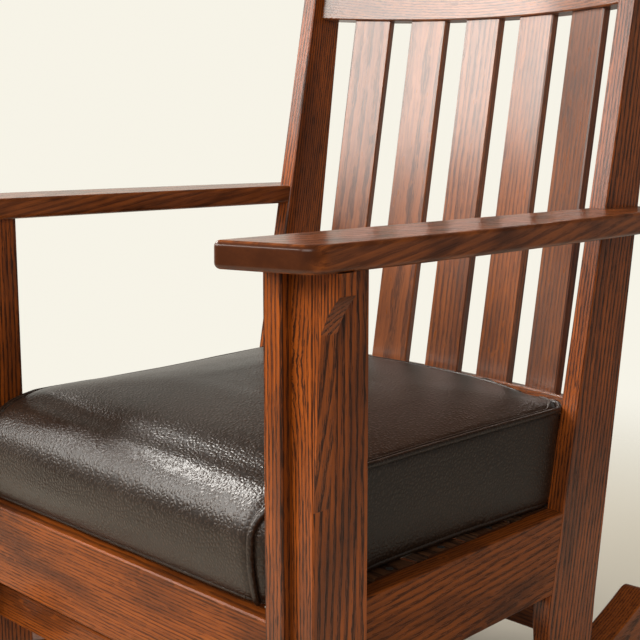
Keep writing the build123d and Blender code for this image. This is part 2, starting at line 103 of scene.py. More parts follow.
class Graph:
    """A material's or the world's nodes, added and joined in a few words."""

    # The places of a colour mix's share, two colours and result.
    MIX_INPUTS = (0, 6, 7)
    MIX_RESULT = 2

    def __init__(self, tree: NodeTree) -> None:
        """Start from an emptied node tree."""
        self.tree = tree
        tree.nodes.clear()

    def add(self, kind: str, values: dict | None = None, **settings: object) -> Node:
        """Add a node.

        Args:
            kind: the node's type name without ShaderNode.
            values: numbers, colours or sockets for its inputs, by name or place.
            settings: the node's own settings.

        Returns:
            The new node.
        """
        node = self.tree.nodes.new("ShaderNode" + kind)
        for name, value in settings.items():
            setattr(node, name, value)
        for name, value in (values or {}).items():
            if isinstance(value, NodeSocket):
                self.tree.links.new(value, node.inputs[name])
            else:
                node.inputs[name].default_value = value
        return node

    def math(self, operation: str, *values: object) -> NodeSocket:
        """Work out one number from others."""
        return self.add("Math", dict(enumerate(values)), operation=operation).outputs[0]

    def vector(self, operation: str, *values: object) -> NodeSocket:
        """Work out one vector from others."""
        return self.add("VectorMath", dict(enumerate(values)), operation=operation).outputs[0]

    def spread(self, value: object, low: float, high: float, to_low: float = 0.0,
               to_high: float = 1.0) -> NodeSocket:
        """Spread the range of a value from low to high smoothly over another."""
        inputs = {0: value, 1: low, 2: high, 3: to_low, 4: to_high}
        return self.add("MapRange", inputs, interpolation_type="SMOOTHSTEP").outputs[0]

    def blend(self, share: object, *colours: object) -> NodeSocket:
        """Blend a share, from 0 to 1, of a second colour into a first."""
        values = [share, *((*each, 1) if isinstance(each, tuple) else each for each in colours)]
        inputs = dict(zip(self.MIX_INPUTS, values))
        return self.add("Mix", inputs, data_type="RGBA").outputs[self.MIX_RESULT]

    def stretched(self, source: object, scale: Point) -> NodeSocket:
        """Scale a position by a share for each of its parts."""
        return self.vector("MULTIPLY", source, scale)

    def length(self, vector: object) -> NodeSocket:
        """Measure a vector's length."""
        return self.add("VectorMath", {0: vector}, operation="LENGTH").outputs["Value"]

    def texture(self, source: object, noise: Noise) -> Node:
        """Add a noise texture at a position that is stretched along Z."""
        place = source if noise.along == 1 else self.stretched(source, (1, 1, noise.along))
        return self.add("TexNoise", {
            "Vector": place, "Scale": noise.scale, "Detail": noise.detail,
            "Roughness": noise.roughness, "Distortion": noise.distortion})

    def noise(self, source: object, noise: Noise) -> NodeSocket:
        """Read a noise at a position."""
        return self.texture(source, noise).outputs[0]

    def patches(self, source: object, noise: Noise) -> NodeSocket:
        """Spread a noise's shown range from 0 to 1."""
        return self.spread(self.noise(source, noise), *noise.shown)

    def shifts(self, source: object, noise: Noise, reach: float, deep: float = 0.0) -> NodeSocket:
        """Make small shifts from a noise, as far as reach along X and Y and deep along Z."""
        colour = self.texture(source, noise).outputs["Color"]
        return self.stretched(self.vector("SUBTRACT", colour, (0.5, 0.5, 0.5)), (reach, reach, deep))

    def surface(self, height: object, bump: Range, inputs: dict) -> None:
        """End a material with a bumpy surface.

        Args:
            height: the socket of the bumps' height.
            bump: how strong the bumps are, and how deep in metres.
            inputs: the surface's other inputs by name.
        """
        node = self.add("Bump", {"Height": height, "Strength": bump[0], "Distance": bump[1]})
        shader = self.add("BsdfPrincipled", inputs | {"Normal": node.outputs[0]})
        self.add("OutputMaterial", {0: shader.outputs[0]})


def new_material(name: str) -> tuple[Material, Graph]:
    """Make an empty node material.

    Args:
        name: the material's name.

    Returns:
        The material and its graph.
    """
    material = bpy.data.materials.new(name)
    material.use_nodes = True
    return material, Graph(material.node_tree)


def set_material(piece: Object, material: Material) -> None:
    """Give every slot of a piece one material.

    Args:
        piece: the object to dress.
        material: its new material.
    """
    if not piece.material_slots:
        piece.data.materials.append(material)
    for place in piece.material_slots:
        place.material = material


def add_object(name: str, data: ID) -> Object:
    """Add an object to the scene.

    Args:
        name: its name.
        data: its mesh, curve, lamp or camera.

    Returns:
        The new object.
    """
    added = bpy.data.objects.new(name, data)
    bpy.context.scene.collection.objects.link(added)
    return added


def select_only(piece: Object) -> None:
    """Make a piece the active one and the only one that is selected.

    Args:
        piece: the object to select.
    """
    bpy.ops.object.select_all(action="DESELECT")
    piece.select_set(True)
    bpy.context.view_layer.objects.active = piece


def vertex_places(mesh: Mesh) -> np.ndarray:
    """Read the vertices of a mesh as a row of X, Y and Z each."""
    return np.array([vertex.co[:] for vertex in mesh.vertices])


def move_vertices(mesh: Mesh, places: np.ndarray) -> None:
    """Move the vertices of a mesh to a row of X, Y and Z each."""
    mesh.vertices.foreach_set("co", places.ravel())
    mesh.update()


@dataclass(frozen=True)
class Figure:
    """Curly grain round a small knot in the face of a board."""

    middle: Point
    size: float = 0.030
    along: float = 0.42
    reach: float = 1.5
    pull: float = 0.016
    curl: float = 0.008
    stir: Noise = Noise(130, 0.8)

    def bend(self, graph: Graph, source: object) -> NodeSocket:
        """Pull the grain round the knot and stir it there.

        Args:
            graph: the material's graph.
            source: the position's socket.

        Returns:
            The pulled position's socket.
        """
        apart = graph.vector("SUBTRACT", source, self.middle)
        share = graph.stretched(apart, (1 / self.size, 1 / self.size, self.along / self.size))
        near = graph.spread(graph.length(share), self.reach, 0)
        swirl = graph.shifts(source, self.stir, self.curl)
        push = graph.vector("ADD", swirl, (self.pull, self.pull / 2, 0))
        scaled = graph.add("VectorMath", {0: push, "Scale": near}, operation="SCALE")
        return graph.vector("ADD", source, scaled.outputs[0])


@dataclass(frozen=True)
class OakFinish:
    """Fumed oak under a rubbed clear finish, sawn from one log line."""

    light: Colour = (0.36, 0.082, 0.0095)
    middle: Colour = (0.19, 0.041, 0.0055)
    dark: Colour = (0.075, 0.019, 0.005)
    pore: Colour = (0.016, 0.0055, 0.0025)
    # The end-grain colour darkens true end grain, and through the wide end_turn also slanted undersides
    # such as the corbel's, as painted shade.
    end_grain_and_shade: Colour = (0.060, 0.017, 0.006)
    end_turn: Range = (0.42, 0.78)
    end_cover: float = 0.88
    heart: Point = (0.05, 0.03, 0.0)
    drift: Noise = Noise(7, 0.14)
    wander: float = 0.012
    quiver: Noise = Noise(85, 0.22)
    quiver_reach: float = 0.0022
    ring_gap: float = 0.0036
    early_rise: Range = (0, 0.12)
    early_fall: Range = (0.62, 0.3)
    year_height: float = 0.1
    pores: float = 0.85
    coarse_pores: Noise = Noise(900, 0.045, (0.52, 0.62), roughness=0.6)
    fine_pores: Noise = Noise(1900, 0.03, (0.54, 0.66), roughness=0.6)
    fine_share: float = 0.75
    crowding: Range = (0.15, -0.07)
    pore_roughness: float = 0.22
    lines: float = 0.62
    line_fade: Range = (0.3, 0.06)
    line_breaks: Noise = Noise(420, 0.06, (0.38, 0.55))
    streaks: Noise = Noise(260, 0.035, (0.36, 0.8), 3, 0.6)
    streak_rise: float = 0.2
    clouds: float = 0.6
    cloud: Noise = Noise(22, 0.22, (0.42, 0.7))
    flecks: float = 0.25
    fleck_cells: Noise = Noise(95, 0.33, (0.58, 0.68), 1, 0.4, 0.8)
    fleck_breaks: Noise = Noise(300, 0.1, (0.35, 0.6))
    fleck_shine: float = 0.08
    roughness: float = 0.36
    specular: float = 0.18
    index: float = 1.5
    coat: float = 0.4
    coat_roughness: float = 0.16
    coat_index: float = 1.5
    bump: Range = (0.35, 0.0005)
    figure: Figure | None = None

    def make(self, name: str, grain: Grain, place: Point, tilt: float = 0.0) -> Material:
        """Make the material of one board.

        Args:
            name: the material's name.
            grain: the way the board's grain runs.
            place: where the board is sawn from its log.
            tilt: the board's lean about X, in degrees.

        Returns:
            The material.
        """
        material, graph = new_material(name)
        board = self._board_position(graph, grain, place, tilt)
        bent = graph.vector("ADD", board, graph.shifts(board, self.drift, self.wander))
        bent = graph.vector("ADD", bent, graph.shifts(board, self.quiver, self.quiver_reach))
        radius = graph.length(graph.stretched(bent, (1, 1, 0)))
        year = graph.math("FRACT", graph.math("DIVIDE", radius, self.ring_gap))
        early = graph.math("MULTIPLY", graph.spread(year, *self.early_rise),
                           graph.spread(year, *self.early_fall))
        end = self._end_grain_and_shade_share(graph, grain)
        side = graph.math("SUBTRACT", 1, end)
        pores = graph.math("MULTIPLY", self._pores(graph, bent, early), side)
        colour = self._colour(graph, board, bent, year, pores)
        fleck = graph.math("MULTIPLY", self._flecks(graph, board), side)
        colour = graph.blend(graph.math("MULTIPLY", fleck, self.flecks), colour, self.light)
        # Darken end grain, and slanted undersides as painted shade.
        colour = graph.blend(graph.math("MULTIPLY", end, self.end_cover), colour, self.end_grain_and_shade)
        rough = graph.math("MULTIPLY_ADD", pores, self.pore_roughness, self.roughness)
        rough = graph.math("MULTIPLY_ADD", fleck, -self.fleck_shine, rough)
        height = graph.math("MULTIPLY_ADD", pores, -1, graph.math("MULTIPLY", year, self.year_height))
        graph.surface(height, self.bump, {
            "Base Color": colour, "Roughness": rough, "IOR": self.index,
            "Specular IOR Level": self.specular, "Coat Weight": self.coat,
            "Coat Roughness": self.coat_roughness, "Coat IOR": self.coat_index})
        return material

    def _board_position(self, graph: Graph, grain: Grain, place: Point, tilt: float) -> NodeSocket:
        """Lay the position along the board, with the log's heart as its Z axis.

        Args:
            graph: the material's graph.
            grain: the way the board's grain runs.
            place: where the board is sawn from its log.
            tilt: the board's lean about X, in degrees.

        Returns:
            The position's socket.
        """
        source = graph.add("TexCoord").outputs["Object"]
        if self.figure:
            source = self.figure.bend(graph, source)
        turn = [math.radians(angle) for angle in grain.value]
        turn[0] += math.radians(tilt)
        shift = tuple(a + b for a, b in zip(self.heart, place))
        inputs = {"Vector": source, "Rotation": turn, "Location": shift}
        return graph.add("Mapping", inputs).outputs[0]

    def _end_grain_and_shade_share(self, graph: Graph, grain: Grain) -> NodeSocket:
        """Measure how far a face shows the board's end grain, from 0 to 1, reaching slanted faces such as
        the corbel's underside, which take painted shade.
        """
        facing = graph.add("SeparateXYZ", {0: graph.add("TexCoord").outputs["Normal"]})
        along = facing.outputs[list(Grain).index(grain)]
        return graph.spread(graph.math("ABSOLUTE", along), *self.end_turn)

    def _pores(self, graph: Graph, bent: object, early: object) -> NodeSocket:
        """Mark the dark vessels, long along the grain and crowded in each year's early wood.

        Args:
            graph: the material's graph.
            bent: the position along the wandering grain.
            early: the share of early wood.

        Returns:
            The socket of the pores' depth.
        """
        crowd = graph.math("MULTIPLY_ADD", early, *self.crowding)
        coarse, fine = (graph.spread(graph.math("ADD", graph.noise(bent, kind), crowd), *kind.shown)
                        for kind in (self.coarse_pores, self.fine_pores))
        deepest = graph.math("MAXIMUM", coarse, graph.math("MULTIPLY", fine, self.fine_share))
        return graph.math("MULTIPLY", deepest, self.pores)

    def _colour(self, graph: Graph, board: object, bent: object, year: object,
                pores: object) -> NodeSocket:
        """Mix streaks of light and dark brown, with a thin dark line each year.

        Args:
            graph: the material's graph.
            board: the position along the board.
            bent: the position along the wandering grain.
            year: how far each point is through its year.
            pores: the pores' depth.

        Returns:
            The colour's socket.
        """
        streak = graph.math("MULTIPLY_ADD", year, self.streak_rise, graph.noise(bent, self.streaks))
        colour = graph.blend(graph.spread(streak, *self.streaks.shown), self.middle, self.light)
        cloud = graph.spread(graph.noise(board, self.cloud), *self.cloud.shown, 0, self.clouds)
        colour = graph.blend(cloud, colour, self.dark)
        line = graph.math("MULTIPLY", graph.spread(year, *self.line_fade),
                          graph.patches(bent, self.line_breaks))
        colour = graph.blend(graph.math("MULTIPLY", line, self.lines), colour, self.pore)
        return graph.blend(pores, colour, self.pore)

    def _flecks(self, graph: Graph, board: object) -> NodeSocket:
        """Mark the paler, shinier ray flecks that lie a little across the grain."""
        cells = graph.patches(board, self.fleck_cells)
        return graph.math("MULTIPLY", cells, graph.patches(board, self.fleck_breaks))


@dataclass(frozen=True)
class LeatherFinish:
    """Dark brown upholstery hide with a pebbled grain."""

    deep: Colour = (0.026, 0.0135, 0.0072)
    worn: Colour = (0.035, 0.0195, 0.0115)
    # Near-black painted shade, laid in the grooves between the pebbles.
    groove_shade: Colour = (0.006, 0.0035, 0.0024)
    grain_size: float = 0.0044
    stir: Noise = Noise(240)
    stir_reach: Range = (0.0012, 0.0012)
    pebble_slope: Range = (0, 0.45)
    pebble_edge: Range = (0.3, 0)
    groove_shade_cover: float = 0.6
    fine_grain: float = 2.4
    fine_height: float = 0.06
    creases: Noise = Noise(120, detail=1)
    crease_height: float = 0.4
    cloud: Noise = Noise(9, shown=(0.35, 0.7), detail=3)
    gloss_cloud: Range = (0.3, 0.7)
    roughness: Range = (0.335, 0.385)
    index: float = 1.5
    bump: Range = (1.0, 0.00028)

    def make(self, name: str) -> Material:
        """Make the hide's material.

        Args:
            name: the material's name.

        Returns:
            The material.
        """
        material, graph = new_material(name)
        source = graph.add("TexCoord").outputs["Object"]
        stirred = graph.vector("ADD", source, graph.shifts(source, self.stir, *self.stir_reach))
        scale = 1 / self.grain_size
        pebbles = graph.add("TexVoronoi", {"Vector": stirred, "Scale": scale},
                            feature="DISTANCE_TO_EDGE").outputs[0]
        pebbles = graph.spread(pebbles, *self.pebble_slope)
        cloud = graph.noise(source, self.cloud)
        colour = graph.blend(graph.spread(cloud, *self.cloud.shown), self.deep, self.worn)
        # Darken the grooves between the pebbles with painted shade.
        edges = graph.spread(pebbles, *self.pebble_edge, 0, self.groove_shade_cover)
        colour = graph.blend(edges, colour, self.groove_shade)
        fine = graph.noise(source, Noise(self.fine_grain * scale))
        height = graph.math("MULTIPLY_ADD", fine, self.fine_height, pebbles)
        height = graph.math("MULTIPLY_ADD", graph.noise(source, self.creases), self.crease_height, height)
        rough = graph.spread(cloud, *self.gloss_cloud, *self.roughness)
        graph.surface(height, self.bump, {"Base Color": colour, "Roughness": rough, "IOR": self.index})
        return material


@dataclass(frozen=True)
class SteelFinish:
    """Dull turned steel of the screws."""

    bright: Colour = (0.42, 0.41, 0.39)
    dull: Colour = (0.16, 0.15, 0.14)
    stain: Noise = Noise(180, shown=(0.35, 0.7), detail=3)
    gloss_stain: Range = (0.3, 0.7)
    scratches: Noise = Noise(2500, 0.1)
    roughness: Range = (0.38, 0.63)
    bump: Range = (0.2, 0.0002)

    def make(self, name: str) -> Material:
        """Make the screws' material.

        Args:
            name: the material's name.

        Returns:
            The material.
        """
        material, graph = new_material(name)
        source = graph.add("TexCoord").outputs["Object"]
        stain = graph.noise(source, self.stain)
        colour = graph.blend(graph.spread(stain, *self.stain.shown), self.bright, self.dull)
        rough = graph.spread(stain, *self.gloss_stain, *self.roughness)
        graph.surface(graph.noise(source, self.scratches), self.bump,
                      {"Base Color": colour, "Metallic": 1.0, "Roughness": rough})
        return material


@dataclass(frozen=True)
class Lamp:
    """One soft flat lamp: where it stands, its sides and its power in watts."""

    name: str
    place: Point
    width: float
    height: float
    power: float


@dataclass
class Studio:
    """The camera, the pale floor and the soft lights."""

    camera_place: Point = (1.03955, -0.97848, 0.73177)
    camera_turn: Point = (79.93, 0.0, 45.32)
    focal_length: float = 72.13
    film_width: float = 36.0
    backdrop: Colour = (0.93, 0.90, 0.80)
    floor_colour: Colour = (0.64, 0.60, 0.51)
    floor_radius: float = 2.4
    floor_sides: int = 96
    floor_fade: Range = (0.7, 1.9)
    dim_room: Colour = (0.045, 0.04, 0.035)
    lit_way: PlanPoint = (-0.98, 0.2)
    lit_side: Range = (0.76, 0.85)
    shaded_side: Range = (0.1, 0.5)
    shaded_wall: float = 0.2
    wall_top: Range = (0.45, 0.25)
    fill_colour: Colour = (1.0, 0.97, 0.92)
    fill_strength: float = 0.32
    lamps: tuple[Lamp, ...] = (
        Lamp("key", (-1.78, -2.42, 2.0), 2.7, 1.3, 98.0),
        Lamp("side", (-2.5, -0.4, 2.4), 0.9, 0.9, 80.0),
        Lamp("front", (1.9, -2.7, 2.2), 2.0, 2.0, 49.0),
        Lamp("strip", (-0.2, -2.87, 2.1), 1.0, 0.5, 14.0),
    )
    lamp_colour: Colour = (1.0, 0.965, 0.91)
    target: Point = (0.0, 0.05, 0.5)

    def build(self) -> None:
        """Set up the whole studio."""
        bpy.context.scene.view_settings.view_transform = "Standard"
        self._camera()
        self._floor()
        self._world()
        for lamp in self.lamps:
            self._lamp(lamp)

    def _camera(self) -> None:
        """Add the camera and make it the scene's own."""
        data = bpy.data.cameras.new("camera")
        data.lens = self.focal_length
        data.sensor_width = self.film_width
        camera = add_object("camera", data)
        camera.location = self.camera_place
        camera.rotation_euler = Euler([math.radians(angle) for angle in self.camera_turn])
        bpy.context.scene.camera = camera

    def _floor(self) -> None:
        """Add a pale round floor that fades into the backdrop."""
        bpy.ops.mesh.primitive_circle_add(vertices=self.floor_sides, radius=self.floor_radius,
                                          fill_type="NGON")
        floor = bpy.context.object
        floor.name = "floor"
        material, graph = new_material("floor")
        reach = graph.length(graph.add("TexCoord").outputs["Object"])
        fade = graph.spread(reach, *self.floor_fade)
        lit = graph.add("BsdfDiffuse", {"Color": (*self.floor_colour, 1)})
        clear = graph.add("BsdfTransparent")
        mixed = graph.add("MixShader", {0: fade, 1: lit.outputs[0], 2: clear.outputs[0]})
        graph.add("OutputMaterial", {0: mixed.outputs[0]})
        set_material(floor, material)
        LOG.info("studio: %s", floor.name)

    def _world(self) -> None:
        """Light the room softly and show a pale backdrop, with a dimmer room before the chair."""
        world = bpy.data.worlds.new("room")
        bpy.context.scene.world = world
        world.use_nodes = True
        graph = Graph(world.node_tree)
        x, y, z = graph.add("SeparateXYZ", {0: graph.add("TexCoord").outputs["Generated"]}).outputs
        across = graph.math("MULTIPLY", x, self.lit_way[0])
        lit = graph.spread(graph.math("MULTIPLY_ADD", y, self.lit_way[1], across), *self.lit_side)
        shaded = graph.spread(y, *self.shaded_side, 0, self.shaded_wall)
        low = graph.spread(z, *self.wall_top)
        wall = graph.math("MULTIPLY", graph.math("MAXIMUM", lit, shaded), low)
        mirrored = graph.blend(wall, self.dim_room, self.backdrop)
        path = graph.add("LightPath").outputs
        seen = graph.blend(path["Is Camera Ray"], mirrored, self.backdrop)
        sharp = graph.math("MAXIMUM", path["Is Camera Ray"], graph.math(
            "MAXIMUM", path["Is Glossy Ray"], path["Is Transmission Ray"]))
        strength = graph.spread(sharp, 0, 1, self.fill_strength, 1)
        colour = graph.blend(sharp, self.fill_colour, seen)
        back = graph.add("Background", {"Color": colour, "Strength": strength})
        graph.add("OutputWorld", {0: back.outputs[0]})

    def _lamp(self, lamp: Lamp) -> None:
        """Add one soft lamp, turned to the chair.

        Args:
            lamp: the lamp to add.
        """
        data = bpy.data.lights.new(lamp.name, "AREA")
        data.shape = "RECTANGLE"
        data.size = lamp.width
        data.size_y = lamp.height
        data.energy = lamp.power
        data.color = self.lamp_colour
        light = add_object(lamp.name, data)
        light.location = lamp.place
        aim = Vector(self.target) - Vector(lamp.place)
        light.rotation_euler = aim.to_track_quat("-Z", "Y").to_euler()


@dataclass
class Boards:
    """A group of oak boards of the frame that share one cut and finish."""

    title: str
    finish: OakFinish
    grains: dict[str, tuple[Grain, float]]
    log_step: Point = (0.043, 0.029, 0.37)

    def dress(self, nodes: dict[str, Object]) -> None:
        """Give each board its own piece of the log.

        Args:
            nodes: the frame's objects by name.
        """
        for count, (name, (grain, tilt)) in enumerate(self.grains.items()):
            place = tuple(step * count for step in self.log_step)
            set_material(nodes[name], self.finish.make(name, grain, place, tilt))
            LOG.info("%s: %s", self.title, name)


def smooth_curves(piece: Object) -> None:
    """Shade the curved faces of a board smoothly and keep its arrises crisp.

    Args:
        piece: the board.
    """
    piece.data.polygons.foreach_set("use_smooth", [True] * len(piece.data.polygons))
    piece.modifiers.new("weld", "WELD").merge_threshold = WELD_GAP
    piece.modifiers.new("arrises", "EDGE_SPLIT").split_angle = math.radians(ARRIS_TURN)
    piece.modifiers.new("flat faces", "WEIGHTED_NORMAL").weight = AREA_WEIGHT


@dataclass
class Arms:
    """The two broad arms, with slanted fronts, curved outer sides and rounded rims."""

    face: float = -0.2593
    underside: float = 0.590
    fall: float = 0.9
    thickness: float = 0.024
    inner_front: PlanPoint = (0.246, -0.061)
    outer_front: PlanPoint = (0.336, -0.027)
    outer_middle: float = 0.330
    end: float = 0.558
    outer_back: float = 0.307
    inner_back: float = 0.2395
    corner_radius: float = 0.024
    inner_corner_radius: float = 0.0065
    corner_steps: int = 8
    corner_reach: float = 0.002
    rim_radius: float = 0.0055
    rim_steps: int = 5
    crease_turn: float = 40.0
    first_step: float = -0.006
    steps: int = 24
    post_side: float = 0.262
    post_front: float = 0.487
    post_rake: float = 10.58

    def build(self) -> dict[str, Object]:
        """Model one arm, lay it on its front leg, falling to the back, and mirror it.

        Returns:
            The arms by the names of the solids that they stand for.
        """
        board = self._board()
        self._round_corners()
        self._round_rims()
        bpy.ops.object.mode_set(mode="OBJECT")
        board.location = (0, self.face, self.underside)
        board.rotation_euler = (math.radians(-self.fall), 0, 0)
        bpy.ops.object.transform_apply(location=True, rotation=True, scale=True)
        self._notch(board)
        twin = self._mirror(board)
        arms = {}
        for piece in (board, twin):
            for name in ("arm_left", "arm_right"):
                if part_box(name)[0][0] * piece.data.vertices[0].co.x > 0:
                    piece.name = name.replace("arm", "arm_board")
                    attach(piece, "frame")
                    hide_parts(name)
                    arms[name] = piece
        return arms

    def _sides(self, y: float) -> tuple[float, float]:
        """Find the inner and outer side's X.

        Args:
            y: the distance behind the front leg's face.

        Returns:
            The two X.
        """
        inner = np.interp(y, (self.inner_front[1], self.end), (self.inner_front[0], self.inner_back))
        places = (self.outer_front[1], (self.end + self.inner_front[1]) / 2, self.end)
        bow = np.polyfit(places, (self.outer_front[0], self.outer_middle, self.outer_back), 2)
        return float(inner), float(np.polyval(bow, y))

    def _board(self) -> Object:
        """Extrude the board step by step from a slice before its front, and cut its front.

        Returns:
            The board, in edit mode.
        """
        y = self.inner_front[1] - self.corner_radius
        inner, outer = self._sides(y)
        bpy.ops.mesh.primitive_plane_add(size=1, rotation=(math.radians(90), 0, 0),
                                         location=((inner + outer) / 2, y, self.thickness / 2))
        board = bpy.context.object
        board.scale = (outer - inner, self.thickness, 1)
        bpy.ops.object.transform_apply(location=True, rotation=True, scale=True)
        bpy.ops.object.mode_set(mode="EDIT")
        for following in np.linspace(self.first_step, self.end, self.steps):
            ahead = self._sides(following)
            shift = ((sum(ahead) - inner - outer) / 2, following - y, 0)
            bpy.ops.mesh.extrude_region_move(TRANSFORM_OT_translate={"value": shift})
            middle = (sum(ahead) / 2, following, self.thickness / 2)
            stretch = (ahead[1] - ahead[0]) / (outer - inner)
            bpy.ops.transform.resize(value=(stretch, 1, 1), center_override=middle)
            (inner, outer), y = ahead, following
        bpy.ops.mesh.select_all(action="SELECT")
        across = Vector(self.outer_front) - Vector(self.inner_front)
        bpy.ops.mesh.bisect(plane_co=(*self.inner_front, 0), plane_no=(-across.y, across.x, 0),
                            use_fill=True, clear_inner=True)
        bpy.ops.mesh.select_all(action="SELECT")
        bpy.ops.mesh.normals_make_consistent(inside=False)
        return board

    def _choose(self, wanted: Callable[[Vector, Vector], bool]) -> None:
        """Select the arrises of the edited board that answer a question.

        Args:
            wanted: the question about an edge's two ends.
        """
        limit = math.radians(self.crease_turn)
        bpy.ops.mesh.select_mode(type="EDGE")
        bpy.ops.mesh.select_all(action="DESELECT")
        mesh = bpy.context.object.data
        for edge in bmesh.from_edit_mesh(mesh).edges:
            if edge.calc_face_angle(0) > limit and wanted(*(end.co for end in edge.verts)):
                edge.select_set(True)
        bmesh.update_edit_mesh(mesh)

    def _round_corners(self) -> None:
        """Round the two front corners of the plan."""
        across = Vector(self.outer_front) - Vector(self.inner_front)
        slant = math.atan2(across.y, across.x)
        half = math.radians(45)
        for corner, radius, half_angle in (
                (self.outer_front, self.corner_radius, half + slant / 2),
                (self.inner_front, self.inner_corner_radius, half - slant / 2)):
            place = Vector(corner)
            self._choose(lambda a, b: max((a.xy - place).length,
                                          (b.xy - place).length) < self.corner_reach)
            bpy.ops.mesh.bevel(offset=radius / math.tan(half_angle), segments=self.corner_steps,
                               affect="EDGES")

    def _round_rims(self) -> None:
        """Round the upper and lower rims."""
        self._choose(lambda a, b: abs(a.z - b.z) < self.rim_radius / 2)
        bpy.ops.mesh.bevel(offset=self.rim_radius, segments=self.rim_steps, affect="EDGES",
                           clamp_overlap=False)

    def _notch(self, board: Object) -> None:
        """Cut the board's end round the back post.

        Args:
            board: the placed board.
        """
        lean = math.radians(self.post_rake)
        half = self.end / 2
        place = (self.post_side - half, self.face + self.post_front + half * math.cos(lean),
                 self.underside - half * math.sin(lean))
        bpy.ops.mesh.primitive_cube_add(size=2 * half, rotation=(-lean, 0, 0), location=place)
        cutter = bpy.context.object
        select_only(board)
        notch = board.modifiers.new("notch", "BOOLEAN")
        notch.operation = "DIFFERENCE"
        notch.solver = "EXACT"
        notch.object = cutter
        bpy.ops.object.modifier_apply(modifier=notch.name)
        bpy.data.objects.remove(cutter)

    def _mirror(self, board: Object) -> Object:
        """Copy the board to the chair's other side.

        Args:
            board: the finished board.

        Returns:
            Its mirror image.
        """
        twin = add_object("arm_twin", board.data.copy())
        select_only(twin)
        twin.scale = (-1, 1, 1)
        bpy.ops.object.transform_apply(location=False, rotation=False, scale=True)
        bpy.ops.object.mode_set(mode="EDIT")
        bpy.ops.mesh.select_all(action="SELECT")
        bpy.ops.mesh.normals_make_consistent(inside=False)
        bpy.ops.object.mode_set(mode="OBJECT")
        return twin


